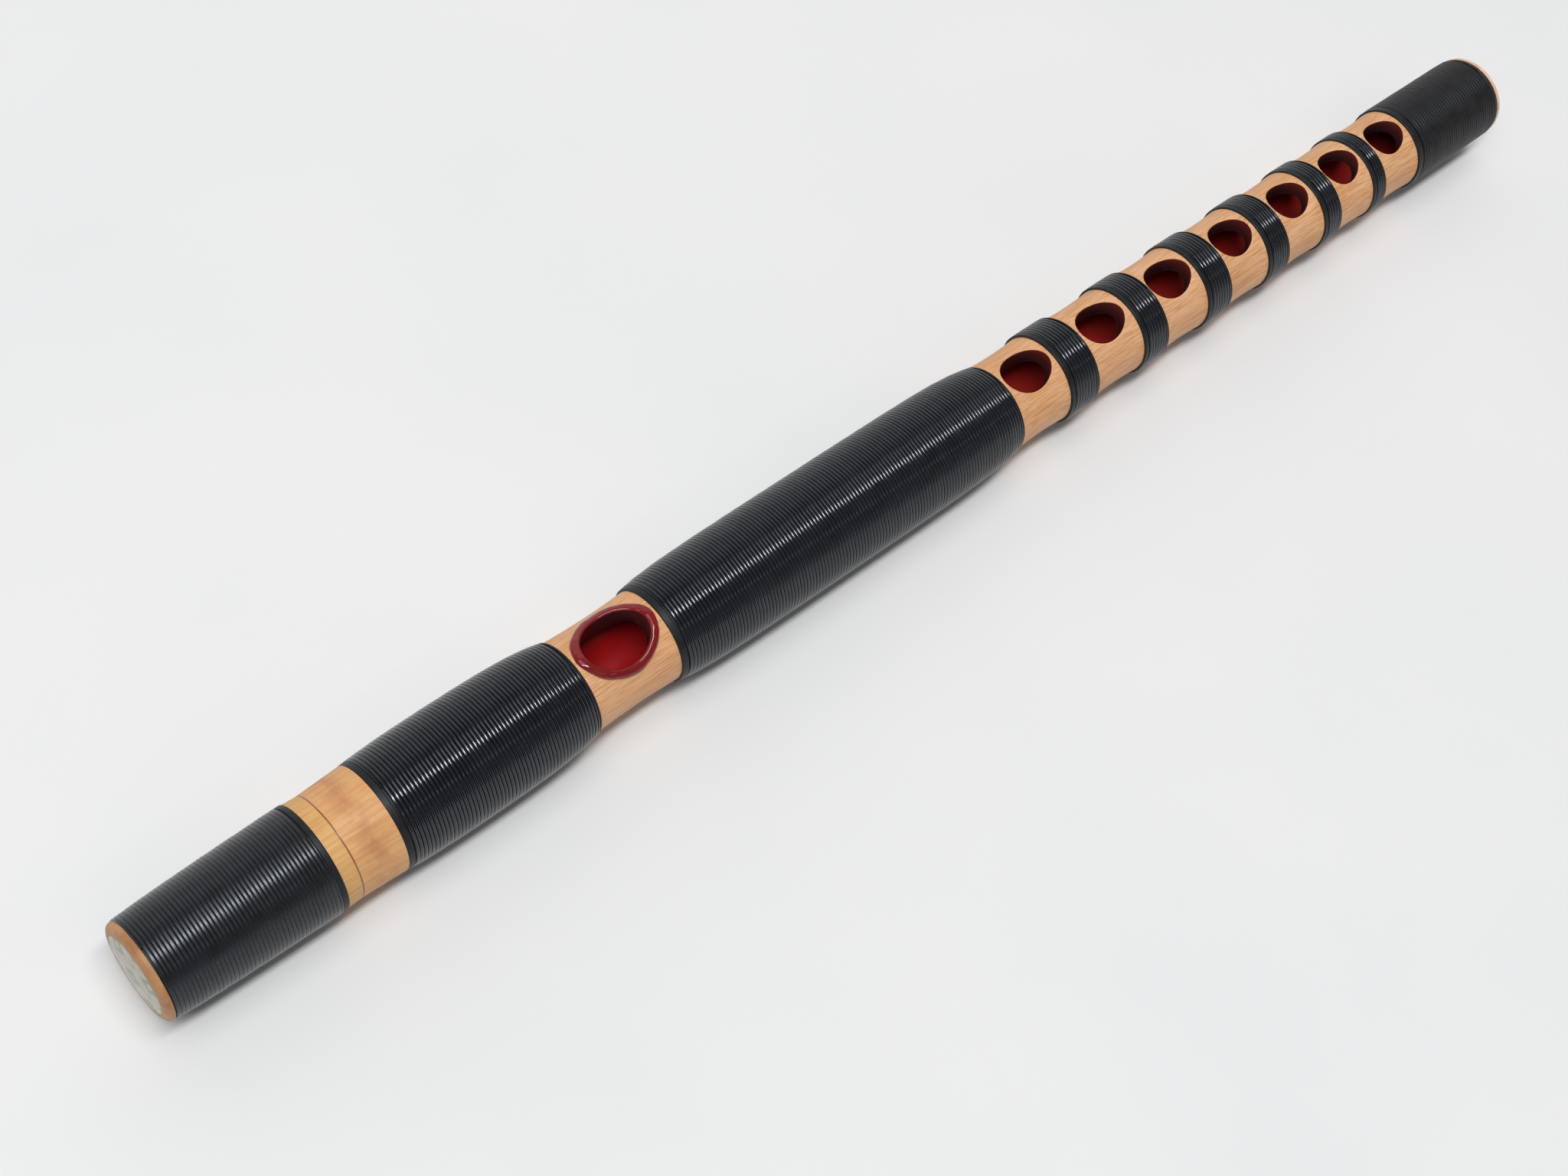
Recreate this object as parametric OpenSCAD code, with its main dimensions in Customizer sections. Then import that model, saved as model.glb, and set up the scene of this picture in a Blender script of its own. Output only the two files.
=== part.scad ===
// Side-blown bamboo flute with black lacquered windings and a red lacquered bore.
// It lies along X with its head at -X, its tail at +X and its holes facing up.

/* [Head end] */
// Bamboo that shows past the head winding
head_rim_len = 2.5; // [2.1:0.1:8]
// Outer radius of the bamboo rim at the head end
head_rim_r = 10.9; // [10:0.1:14]
// Rounding of the rim's outer edge
head_rim_round = 1.9; // [0.4:0.1:2]
// Wall of the bamboo rim around the plug
head_rim_wall = 2.2; // [2.1:0.1:3]
// Depth of the seat for the brocade disc and the plug
plug_depth = 9; // [6:0.5:16]
// Thickness of the brocade disc
brocade_t = 1; // [0.6:0.1:2]
// Height by which the brocade disc domes outward
brocade_dome = 0.5; // [0.2:0.1:0.8]

/* [Head tube] */
// Length of the head winding
head_wrap_len = 38.3; // [25:0.1:60]
// Bare bamboo between the head winding and the throat winding
bare_band_len = 13.8; // [12:0.1:24]
// Distance from the head winding to the seam of the two bamboo tubes
seam_offset = 3.5; // [2:0.1:6]
// Bore of the head tube
head_bore_r = 5.8; // [4.6:0.1:6.2]
// Wall of the tenon that joins the head tube to the body
tenon_wall = 2; // [1.4:0.1:2.4]
// Length of the tenon
tenon_len = 14; // [8:0.5:20]
// Thickness of the cane's own partition that closes the inner end of the head tube
partition_t = 2; // [1:0.1:4]
// Radius of the balance weight
weight_r = 4.4; // [3:0.1:5.3]
// Length of the balance weight
weight_len = 40; // [20:1:44]

/* [Bamboo outline] */
// Radius of the bare band beside the head winding
bare_head_r = 11.9; // [11:0.05:13]
// Radius at the seam of the two tubes
seam_r = 11.75; // [11:0.05:13]
// Radius of the bare band beside the throat winding
bare_throat_r = 12.2; // [11:0.05:13]
// Radius at the waist of the mouth section
mouth_waist_r = 10.45; // [9.6:0.05:12]
// Radius at the waist of the first finger section
finger_waist_first_r = 10.45; // [9.6:0.05:12]
// Radius at the waist of the last finger section
finger_waist_last_r = 9.95; // [9.4:0.05:12]
// Rise of the bamboo from a waist to its edges
waist_rise = 0.3; // [0:0.05:0.5]
// Bamboo that shows past the tail winding
tail_rim_len = 2.2; // [0.8:0.1:6]
// Radius of the bamboo at the tail end
tail_rim_r = 10.35; // [9:0.05:12]
// Rounding of the tail end's outer edge
tail_round = 0.7; // [0.2:0.1:0.8]

/* [Bore] */
// Radius of the finished bore
bore_r = 6.5; // [5:0.1:7]
// Thickness of the lacquer in the bore and in the holes
lacquer_t = 0.25; // [0.15:0.05:0.5]
// Length of the wax stopper
stopper_len = 20; // [8:0.5:26]
// Distance from the wax stopper to the mouth hole
stopper_gap = 2; // [0.5:0.5:6]

/* [Mouth hole] */
// Length of the mouth hole
mouth_len = 16.1; // [10:0.1:20]
// Width of the mouth hole
mouth_w = 12.2; // [8:0.1:12.6]
// Width of the lacquer bead past the ends of the mouth hole
bead_end = 1.7; // [0.8:0.1:2.4]
// Width of the lacquer bead past the sides of the mouth hole
bead_side = 1.2; // [0.8:0.1:1.8]
// Height of the lacquer bead over the bamboo
bead_h = 0.9; // [0.4:0.1:1.6]
// Bare bamboo past each end of the bead
bead_edge = 0.9; // [0.4:0.1:4]

/* [Finger holes] */
// Length of finger hole 1, the nearest to the head
hole_len_1 = 13.2; // [8:0.1:16]
// Length of finger hole 2
hole_len_2 = 13.1; // [8:0.1:16]
// Length of finger hole 3
hole_len_3 = 12.7; // [8:0.1:16]
// Length of finger hole 4
hole_len_4 = 11.8; // [8:0.1:16]
// Length of finger hole 5
hole_len_5 = 11.4; // [8:0.1:16]
// Length of finger hole 6
hole_len_6 = 11; // [8:0.1:16]
// Length of finger hole 7
hole_len_7 = 11; // [8:0.1:16]
// Width of the finger hole nearest to the head
hole_first_w = 10.2; // [7:0.1:12]
// Width of the finger hole nearest to the tail
hole_last_w = 9.5; // [7:0.1:12]
// Bare bamboo past each end of finger hole 1
hole_edge_1 = 0.85; // [0.4:0.05:4]
// Bare bamboo past each end of finger hole 2
hole_edge_2 = 1.2; // [0.4:0.05:4]
// Bare bamboo past each end of finger hole 3
hole_edge_3 = 0.7; // [0.4:0.05:4]
// Bare bamboo past each end of finger hole 4
hole_edge_4 = 0.85; // [0.4:0.05:4]
// Bare bamboo past each end of finger hole 5
hole_edge_5 = 0.95; // [0.4:0.05:4]
// Bare bamboo past each end of finger hole 6
hole_edge_6 = 0.7; // [0.4:0.05:4]
// Bare bamboo past each end of finger hole 7
hole_edge_7 = 0.9; // [0.4:0.05:4]

/* [Windings] */
// Thickness of every winding
wrap_t = 0.7; // [0.4:0.05:1.1]
// Length over which a long winding eases down to its ends
swell = 7.5; // [4:0.5:12]
// Outer radius of the head winding at the head end
head_wrap_start_r = 11.6; // [11.4:0.05:14]
// Outer radius of the head winding at the bare band
head_wrap_end_r = 12.2; // [11.4:0.05:14]
// Drop of the head winding at the head end
head_wrap_drop = 0.45; // [0:0.05:0.6]
// Length of the throat winding
throat_wrap_len = 49.1; // [36:0.1:80]
// Outer radius of the throat winding at its fullest
throat_wrap_r = 13.05; // [12.4:0.05:16]
// Drop of the throat winding at the bare band
throat_drop_head = 0.7; // [0:0.05:1]
// Drop of the throat winding at the mouth section
throat_drop_mouth = 1.9; // [0:0.05:2.2]
// Length of the middle winding
middle_wrap_len = 100.9; // [60:0.1:140]
// Outer radius of the middle winding at its fullest
middle_wrap_r = 12.6; // [12.2:0.05:16]
// Drop of the middle winding at the mouth section
middle_drop_mouth = 1.25; // [0:0.05:1.6]
// Drop of the middle winding at the finger section
middle_drop_finger = 1.6; // [0:0.05:1.8]
// Outer radius of the finger winding nearest to the head
band_first_r = 11.45; // [11:0.05:14]
// Outer radius of the finger winding nearest to the tail
band_last_r = 10.85; // [10.6:0.05:14]
// Length of finger winding 1, the nearest to the head
band_len_1 = 9.1; // [3:0.1:16]
// Length of finger winding 2
band_len_2 = 8.1; // [3:0.1:16]
// Length of finger winding 3
band_len_3 = 8.2; // [3:0.1:16]
// Length of finger winding 4
band_len_4 = 7.5; // [3:0.1:16]
// Length of finger winding 5
band_len_5 = 6.3; // [3:0.1:16]
// Length of finger winding 6
band_len_6 = 4.8; // [3:0.1:16]
// Length of the tail winding
tail_wrap_len = 31.4; // [16:0.1:60]
// Outer radius of the tail winding at the finger section
tail_wrap_start_r = 10.85; // [10.4:0.05:14]
// Outer radius of the tail winding at the tail end
tail_wrap_end_r = 10.7; // [10.4:0.05:14]

/* [Inlay] */
// Length of the bark inlay on the underside of the bare band
inlay_len = 6.5; // [3:0.1:7]
// Width of the bark inlay
inlay_w = 4.2; // [2:0.1:7]
// Depth of the bark inlay
inlay_t = 0.8; // [0.4:0.1:1.2]

/* [Fits] */
// Clearance between pieces that fit together
fit = 0.05; // [0.02:0.01:0.1]

/* [Hidden] */
$fn = 96;
hole_sides = 40;
bamboo_colour = "#d29e72";
winding_colour = "#2b2c2f";
lacquer_colour = "#84211f";

hole_lens = [hole_len_1, hole_len_2, hole_len_3, hole_len_4, hole_len_5, hole_len_6, hole_len_7];
hole_edges = [hole_edge_1, hole_edge_2, hole_edge_3, hole_edge_4, hole_edge_5, hole_edge_6, hole_edge_7];
band_lens = [band_len_1, band_len_2, band_len_3, band_len_4, band_len_5, band_len_6];
finger_gaps = [for (i = [0 : 6]) hole_lens[i] + 2 * hole_edges[i]];
mouth_gap_len = mouth_len + 2 * (bead_end + bead_edge);

// Stations along the flute, measured from the head end
function sum_first(list, n) = n <= 0 ? 0 : list[n - 1] + sum_first(list, n - 1);
s_head = head_rim_len;
s_bare = s_head + head_wrap_len;
s_seam = s_bare + seam_offset;
s_throat = s_bare + bare_band_len;
s_mouth = s_throat + throat_wrap_len;
s_middle = s_mouth + mouth_gap_len;
s_finger = s_middle + middle_wrap_len;
function gap_start(i) = s_finger + sum_first(finger_gaps, i) + sum_first(band_lens, i);
function band_start(i) = gap_start(i) + finger_gaps[i];
function hole_at(i) = gap_start(i) + finger_gaps[i] / 2;
s_tail = gap_start(6) + finger_gaps[6];
s_end = s_tail + tail_wrap_len;
total_len = s_end + tail_rim_len;
mouth_at = s_mouth + mouth_gap_len / 2;

// Radii that other sizes set
body_bore_r = bore_r + lacquer_t;
plug_r = head_rim_r - head_rim_wall;
tenon_r = head_bore_r + tenon_wall;
s_tenon_end = s_seam + tenon_len;
s_partition = s_tenon_end - partition_t;
held_weight_len = min(weight_len, s_partition - plug_depth - 2 * fit);
s_stopper = mouth_at - mouth_len / 2 - stopper_gap;
function along_row(first, last, i, count) = first + (last - first) * i / (count - 1);
function hole_w(i) = along_row(hole_first_w, hole_last_w, i, 7);
function waist_r(i) = along_row(finger_waist_first_r, finger_waist_last_r, i, 7);
function band_r(i) = along_row(band_first_r, band_last_r, i, 6);

// A winding is [start, length, radius at start, radius at end, drop at start, drop at end, steps]
head_winding = [s_head, head_wrap_len, head_wrap_start_r, head_wrap_end_r, head_wrap_drop, 0, 8];
throat_winding = [s_throat, throat_wrap_len, throat_wrap_r, throat_wrap_r,
    throat_drop_head, throat_drop_mouth, 12];
middle_winding = [s_middle, middle_wrap_len, middle_wrap_r, middle_wrap_r,
    middle_drop_mouth, middle_drop_finger, 20];
tail_winding = [s_tail, tail_wrap_len, tail_wrap_start_r, tail_wrap_end_r, 0, 0, 1];
function band_winding(i) = [band_start(i), band_lens[i], band_r(i), band_r(i), 0, 0, 1];
windings = [head_winding, throat_winding, middle_winding, tail_winding];
axis_z = max([for (w = windings, k = [0 : w[6]]) winding_r(w, w[0] + w[1] * k / w[6])]);

function winding_r(w, s) =
    w[2] + (w[3] - w[2]) * (s - w[0]) / w[1]
    - w[4] * exp(-(s - w[0]) / swell)
    - w[5] * exp(-(w[0] + w[1] - s) / swell);

// Outline points [radius, station] of a winding, lowered by a depth and shortened by a trim
function winding_line(w, depth, trim) = [
    for (k = [0 : w[6]])
        let (s = w[0] + trim + (w[1] - 2 * trim) * k / w[6])
        [winding_r(w, s) - depth, s]
];
function seat_line(w) = winding_line(w, wrap_t + fit, 0);

// Outline points of a bare section that is lowest at its middle
function waist_line(start, len, waist, raise) = [
    for (k = [0 : 8])
        [waist + raise + waist_rise * pow(k / 4 - 1, 2), start + len * k / 8]
];
function mouth_line(raise) = waist_line(s_mouth, mouth_gap_len, mouth_waist_r, raise);
function gap_line(i, raise) = waist_line(gap_start(i), finger_gaps[i], waist_r(i), raise);

function backward(list) = [for (k = [len(list) - 1 : -1 : 0]) list[k]];

// Quarter round from the end face at radius r - round to the side at radius r
function round_line(r, round) = [
    for (a = [0 : 15 : 90]) [r - round + round * sin(a), round - round * cos(a)]
];

body_outline = concat(
    [[seam_r, s_seam + fit], [bare_throat_r, s_throat]],
    seat_line(throat_winding),
    mouth_line(0),
    seat_line(middle_winding),
    [for (i = [0 : 5]) each concat(gap_line(i, 0), seat_line(band_winding(i)))],
    gap_line(6, 0),
    seat_line(tail_winding),
    [[tail_rim_r, s_end]],
    [for (p = backward(round_line(tail_rim_r, tail_round))) [p[0], total_len - p[1]]]
);

// Lay a shape that was turned about Z down along X, with its -X side up
module lay() {
    translate([-total_len / 2, 0, axis_z]) rotate([0, 90, 0]) children();
}

module turned(points) {
    rotate_extrude() polygon(points);
}

// Upright oval prism from the flute's axis to well past its surface
module oval_prism(at, length, width) {
    oval = [
        for (k = [0 : hole_sides - 1])
            [length / 2 * cos(360 * k / hole_sides), width / 2 * sin(360 * k / hole_sides)]
    ];
    translate([0, 0, at]) rotate([0, -90, 0]) linear_extrude(2 * axis_z) polygon(oval);
}

// Solid between a radius and an outline
module shell(inner_r, outline) {
    turned(concat(
        outline,
        [[inner_r, outline[len(outline) - 1][1]], [inner_r, outline[0][1]]]
    ));
}

module sleeve(w) {
    color(winding_colour) lay()
        turned(concat(winding_line(w, 0, fit), backward(winding_line(w, wrap_t, fit))));
}

// Underside oval of the bare band, as wide as the pocket or the inlay
module inlay_prism(gap) {
    rotate([0, 0, 180])
        oval_prism((s_seam + s_throat) / 2, inlay_len + 2 * gap, inlay_w + 2 * gap);
}

module bamboo_head() {
    color(bamboo_colour) lay() turned(concat(
        [[plug_r, 0]],
        round_line(head_rim_r, head_rim_round),
        [[head_rim_r, s_head]],
        seat_line(head_winding),
        [[bare_head_r, s_bare], [seam_r, s_seam], [tenon_r, s_seam], [tenon_r, s_tenon_end]],
        [[0, s_tenon_end], [0, s_partition], [head_bore_r, s_partition]],
        [[head_bore_r, plug_depth], [plug_r, plug_depth]]
    ));
}

module bamboo_body() {
    color(bamboo_colour) lay() difference() {
        turned(concat(
            body_outline,
            [[body_bore_r, total_len], [body_bore_r, s_tenon_end + fit]],
            [[tenon_r + fit, s_tenon_end + fit], [tenon_r + fit, s_seam + fit]]
        ));
        oval_prism(mouth_at, mouth_len + 2 * lacquer_t, mouth_w + 2 * lacquer_t);
        for (i = [0 : 6]) oval_prism(hole_at(i), hole_lens[i], hole_w(i));
        difference() {
            inlay_prism(fit);
            translate([0, 0, s_seam]) cylinder(h = s_throat - s_seam, r = seam_r - inlay_t);
        }
    }
}

module bore_lining() {
    color(lacquer_colour) lay() difference() {
        shell(bore_r, [[body_bore_r - fit, s_stopper], [body_bore_r - fit, total_len]]);
        oval_prism(mouth_at, mouth_len, mouth_w);
        for (i = [0 : 6]) oval_prism(hole_at(i), hole_lens[i] - 2 * lacquer_t, hole_w(i) - 2 * lacquer_t);
    }
}

module hole_lining(i) {
    color(lacquer_colour) lay() intersection() {
        shell(body_bore_r, gap_line(i, 0));
        difference() {
            oval_prism(hole_at(i), hole_lens[i] - 2 * fit, hole_w(i) - 2 * fit);
            oval_prism(hole_at(i), hole_lens[i] - 2 * lacquer_t, hole_w(i) - 2 * lacquer_t);
        }
    }
}

// The bead around the mouth hole and the lacquer on the hole's wall are one film
module mouth_rim() {
    color(lacquer_colour) lay() difference() {
        union() {
            intersection() {
                shell(body_bore_r, mouth_line(bead_h));
                oval_prism(mouth_at, mouth_len + 2 * (lacquer_t - fit), mouth_w + 2 * (lacquer_t - fit));
            }
            intersection() {
                difference() {
                    shell(body_bore_r, mouth_line(bead_h));
                    shell(0, mouth_line(fit));
                }
                oval_prism(mouth_at, mouth_len + 2 * bead_end, mouth_w + 2 * bead_side);
            }
        }
        oval_prism(mouth_at, mouth_len, mouth_w);
    }
}

module wax_stopper() {
    color("#d8b05a") lay()
        translate([0, 0, s_stopper - fit - stopper_len]) cylinder(h = stopper_len, r = body_bore_r - fit);
}

module lead_weight() {
    color("#6b6e73") lay()
        translate([0, 0, plug_depth + fit]) cylinder(h = held_weight_len, r = weight_r);
}

module weight_packing() {
    color("#e6dcc4") lay()
        shell(weight_r + fit, [
            [head_bore_r - fit, plug_depth + fit],
            [head_bore_r - fit, plug_depth + fit + held_weight_len]
        ]);
}

module head_plug() {
    color("#a9743f") lay()
        translate([0, 0, brocade_t + fit])
            cylinder(h = plug_depth - brocade_t - 2 * fit, r = plug_r - fit);
}

module brocade_disc() {
    disc_r = plug_r - fit;
    color("#c9c6b6") lay() turned(concat(
        [for (k = [0 : 6]) [disc_r * k / 6, brocade_dome * pow(k / 6, 2)]],
        [[disc_r, brocade_t], [0, brocade_t]]
    ));
}

module semi_inlay() {
    color("#8a5a34") lay() intersection() {
        shell(seam_r - inlay_t + fit, [[seam_r, s_seam + fit], [bare_throat_r, s_throat]]);
        inlay_prism(0);
    }
}

bamboo_head();
bamboo_body();
bore_lining();
mouth_rim();
hole_lining(0);  // hole_lining_1
hole_lining(1);  // hole_lining_2
hole_lining(2);  // hole_lining_3
hole_lining(3);  // hole_lining_4
hole_lining(4);  // hole_lining_5
hole_lining(5);  // hole_lining_6
hole_lining(6);  // hole_lining_7
sleeve(head_winding);  // head_wrap
sleeve(throat_winding);  // throat_wrap
sleeve(middle_winding);  // middle_wrap
sleeve(band_winding(0));  // band_1
sleeve(band_winding(1));  // band_2
sleeve(band_winding(2));  // band_3
sleeve(band_winding(3));  // band_4
sleeve(band_winding(4));  // band_5
sleeve(band_winding(5));  // band_6
sleeve(tail_winding);  // tail_wrap
wax_stopper();
lead_weight();
weight_packing();
head_plug();
brocade_disc();
semi_inlay();
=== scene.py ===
"""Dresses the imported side-blown bamboo flute and sets it on a pale floor.

Bamboo, lacquer, windings, brocade and inlay get new meshes that stand for their CAD nodes.
The bore lining and the hidden pieces keep their CAD meshes and get better finishes.
"""
import math

import bmesh
import bpy
from mathutils import Matrix, Vector, noise


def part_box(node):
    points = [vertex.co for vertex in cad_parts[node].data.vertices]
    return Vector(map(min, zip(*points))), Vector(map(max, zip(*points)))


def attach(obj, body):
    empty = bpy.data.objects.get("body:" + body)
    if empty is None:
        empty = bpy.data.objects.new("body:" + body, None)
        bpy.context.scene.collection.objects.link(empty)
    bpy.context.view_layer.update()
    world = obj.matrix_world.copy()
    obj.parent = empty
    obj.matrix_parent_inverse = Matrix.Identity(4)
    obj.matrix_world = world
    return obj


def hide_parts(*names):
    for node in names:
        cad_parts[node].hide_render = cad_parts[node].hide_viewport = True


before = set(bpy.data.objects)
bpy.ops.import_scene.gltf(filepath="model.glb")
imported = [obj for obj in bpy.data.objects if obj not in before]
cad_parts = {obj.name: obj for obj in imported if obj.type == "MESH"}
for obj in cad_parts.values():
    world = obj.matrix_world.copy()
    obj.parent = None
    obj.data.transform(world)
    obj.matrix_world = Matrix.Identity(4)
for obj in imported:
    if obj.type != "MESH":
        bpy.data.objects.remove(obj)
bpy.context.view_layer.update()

MM = 0.001
FINGER_HOLES = 7
BANDS = 6
# Points round the tube, the slack within which two places along it count as the same, and the
# distance within which points are welded.
AROUND = 96
SAME_PLACE = 2e-5
WELD = 2e-6


def span(node):
    """Where a node starts and ends along the flute."""
    low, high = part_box(node)
    return low[0], high[0]


def middle(node, axis):
    low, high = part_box(node)
    return (low[axis] + high[axis]) / 2


def half(node, axis):
    low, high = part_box(node)
    return (high[axis] - low[axis]) / 2


AXIS_Z = middle("throat_wrap", 2)
HEAD_X = span("bamboo_head")[0]
SEAM_X, TAIL_X = span("bamboo_body")
MOUTH_X = middle("mouth_rim", 0)
# The bore inside its lacquer film, and the bamboo's own bore, a little clear of that film.
BORE_FILM = 0.2 * MM
BORE_FIT = 0.05 * MM
BORE_R = half("bore_lining", 1) - BORE_FILM
BAMBOO_BORE = BORE_R + BORE_FILM + BORE_FIT


def on_tube(x, radius, angle):
    """A point at an angle from the top of the tube, positive towards +Y."""
    return Vector((x, radius * math.sin(angle), AXIS_Z + radius * math.cos(angle)))


def ring_angles(count):
    return [2 * math.pi * k / count for k in range(count)]


def drift(x, y, z):
    """Smooth repeatable noise between about -1 and 1."""
    return noise.noise(Vector((x + 0.37, y + 7.13, z + 3.71)))


def outer_profile(node):
    """The outer outline of a round node, read below its holes, as sorted (x, radius) pairs."""
    rings = {}
    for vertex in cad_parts[node].data.vertices:
        x, y, z = vertex.co
        rise = z - AXIS_Z
        if -0.6 * abs(y) < rise <= 0:
            station = round(x, 5)
            rings[station] = max(rings.get(station, 0.0), math.hypot(y, rise))
    return sorted(rings.items())


def along(profile):
    """The radius at x, straight between the points of a profile."""
    def radius(x):
        if x <= profile[0][0]:
            return profile[0][1]
        for (x0, r0), (x1, r1) in zip(profile, profile[1:]):
            if x <= x1:
                return r0 + (r1 - r0) * (x - x0) / max(x1 - x0, 1e-9)
        return profile[-1][1]
    return radius


def spread(start, end, count):
    return [start + (end - start) * k / count for k in range(count + 1)]


class Shape:
    """Points and faces collected for one piece, with a material number on each face."""

    def __init__(self):
        self.points = []
        self.faces = []
        self.marks = []

    def strip(self, rows, ring=False, mark=0):
        """Quads between rows of equally many points; ring closes each row on itself."""
        first = len(self.points)
        count = len(rows[0])
        for row in rows:
            self.points.extend(row)
        across = count if ring else count - 1
        for k in range(len(rows) - 1):
            a = first + k * count
            b = a + count
            for j in range(across):
                n = (j + 1) % count
                self.faces.append((a + j, a + n, b + n, b + j))
                self.marks.append(mark)

    def cap(self, ring):
        """One face across a ring of points."""
        first = len(self.points)
        self.points.extend(ring)
        self.faces.append(tuple(range(first, len(self.points))))
        self.marks.append(0)

    def build(self, name, materials, sharp=50.0):
        mesh = bpy.data.meshes.new(name)
        mesh.from_pydata(self.points, [], self.faces)
        mesh.polygons.foreach_set("material_index", self.marks)
        work = bmesh.new()
        work.from_mesh(mesh)
        bmesh.ops.remove_doubles(work, verts=work.verts, dist=WELD)
        bmesh.ops.recalc_face_normals(work, faces=work.faces)
        work.to_mesh(mesh)
        work.free()
        for material in materials:
            mesh.materials.append(material)
        mesh.polygons.foreach_set("use_smooth", [True] * len(mesh.polygons))
        mesh.set_sharp_from_angle(angle=math.radians(sharp))
        piece = bpy.data.objects.new(name, mesh)
        bpy.context.scene.collection.objects.link(piece)
        return piece


def place(piece, slot, *nodes):
    """The piece moves with the flute and stands for these CAD nodes; slot is not used."""
    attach(piece, "root")
    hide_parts(*nodes)


def lathe(shape, profile, mark=0, wave=None):
    """Turns (x, radius) pairs round the flute's axis; wave shifts x by angle."""
    rows = []
    for x, radius in profile:
        row = []
        for angle in ring_angles(AROUND):
            shift = wave(x, angle) if wave else 0.0
            row.append(on_tube(x + shift, radius, angle))
        rows.append(row)
    shape.strip(rows, ring=True, mark=mark)


# Materials


def tint(red, green, blue):
    """A written screen colour as the linear colour that a shader takes."""
    linear = []
    for value in (red, green, blue):
        value /= 255
        linear.append(value / 12.92 if value <= 0.04045 else ((value + 0.055) / 1.055) ** 2.4)
    return (*linear, 1.0)


WHITE = tint(255, 255, 255)


class Finish:
    """A material under construction: its shader and the textures that feed it."""

    def __init__(self, name, **sockets):
        self.material = bpy.data.materials.new(name)
        self.material.use_nodes = True
        self.tree = self.material.node_tree
        self.shader = self.tree.nodes["Principled BSDF"]
        for socket, value in sockets.items():
            self.shader.inputs[socket.replace("_", " ")].default_value = value
        self.object_place = self.add("ShaderNodeTexCoord").outputs["Object"]

    def add(self, kind, **inputs):
        item = self.tree.nodes.new(kind)
        for socket, value in inputs.items():
            self.feed(item, socket.replace("_", " "), value)
        return item

    def feed(self, item, socket, value):
        if isinstance(value, bpy.types.NodeSocket):
            self.tree.links.new(value, item.inputs[socket])
        else:
            item.inputs[socket].default_value = value

    def stretched(self, scale, shift=(0.0, 0.0, 0.0)):
        """The place on the object, with its own scale along each axis."""
        item = self.add("ShaderNodeMapping", Vector=self.object_place, Scale=scale, Location=shift)
        return item.outputs[0]

    def noise(self, scale, detail=3.0, shift=(0.0, 0.0, 0.0), rough=0.5):
        spot = self.stretched(scale, shift)
        item = self.add("ShaderNodeTexNoise", Vector=spot, Scale=1.0, Detail=detail, Roughness=rough)
        return item.outputs["Fac"]

    def ramp(self, source, *stops):
        """A colour from (position, colour) stops."""
        item = self.add("ShaderNodeValToRGB", Fac=source)
        ends = item.color_ramp.elements
        ends[0].position, ends[0].color = stops[0]
        ends[1].position, ends[1].color = stops[-1]
        for position, colour in stops[1:-1]:
            ends.new(position).color = colour
        return item.outputs["Color"]

    def mask(self, source, low, high):
        """0 where the source is low and 1 where it is high."""
        item = self.add("ShaderNodeMapRange", Value=source, From_Min=low, From_Max=high)
        return item.outputs["Result"]

    def scaled(self, source, low, high):
        """Low where the source is 0 and high where it is 1."""
        item = self.add("ShaderNodeMapRange", Value=source, To_Min=low, To_Max=high)
        return item.outputs["Result"]

    def math(self, operation, first, second):
        item = self.add("ShaderNodeMath")
        item.operation = operation
        self.feed(item, 0, first)
        self.feed(item, 1, second)
        return item.outputs[0]

    def blend(self, factor, first, second, mode="MIX"):
        """Mixes two colours; sockets 0, 6 and 7 of this node take its factor and its colours."""
        item = self.add("ShaderNodeMix")
        item.data_type = "RGBA"
        item.blend_type = mode
        self.feed(item, 0, factor)
        self.feed(item, 6, first)
        self.feed(item, 7, second)
        return item.outputs[2]

    def colour(self, source):
        self.feed(self.shader, "Base Color", source)

    def gloss(self, source, low, high):
        self.feed(self.shader, "Roughness", self.scaled(source, low, high))

    def bump(self, source, depth, strength):
        item = self.add("ShaderNodeBump", Height=source, Strength=strength, Distance=depth)
        self.feed(self.shader, "Normal", item.outputs[0])


def bamboo_finish():
    """Scraped bamboo: fine lengthwise fibres, short golden bundles and soft cloudy tone."""
    finish = Finish("scraped_bamboo", IOR=1.48)
    cloud = finish.noise((45, 160, 160), 3)
    fibre = finish.noise((70, 2600, 2600), 4, rough=0.65)
    bundle = finish.noise((105, 4600, 4600), 2, (3.1, 1.7, 5.3))
    dark, middling, light = tint(216, 162, 116), tint(224, 172, 126), tint(230, 182, 140)
    body = finish.ramp(cloud, (0.3, dark), (0.5, middling), (0.72, light))
    streak = finish.ramp(fibre, (0.36, tint(214, 168, 122)), (0.52, WHITE), (1.0, WHITE))
    toned = finish.blend(0.55, body, streak, "MULTIPLY")
    fleck = finish.math("MULTIPLY", finish.mask(bundle, 0.5, 0.64), 0.65)
    finish.colour(finish.blend(fleck, toned, tint(190, 128, 66)))
    finish.gloss(fibre, 0.46, 0.62)
    finish.bump(bundle, 0.05 * MM, 0.6)
    return finish.material


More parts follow.
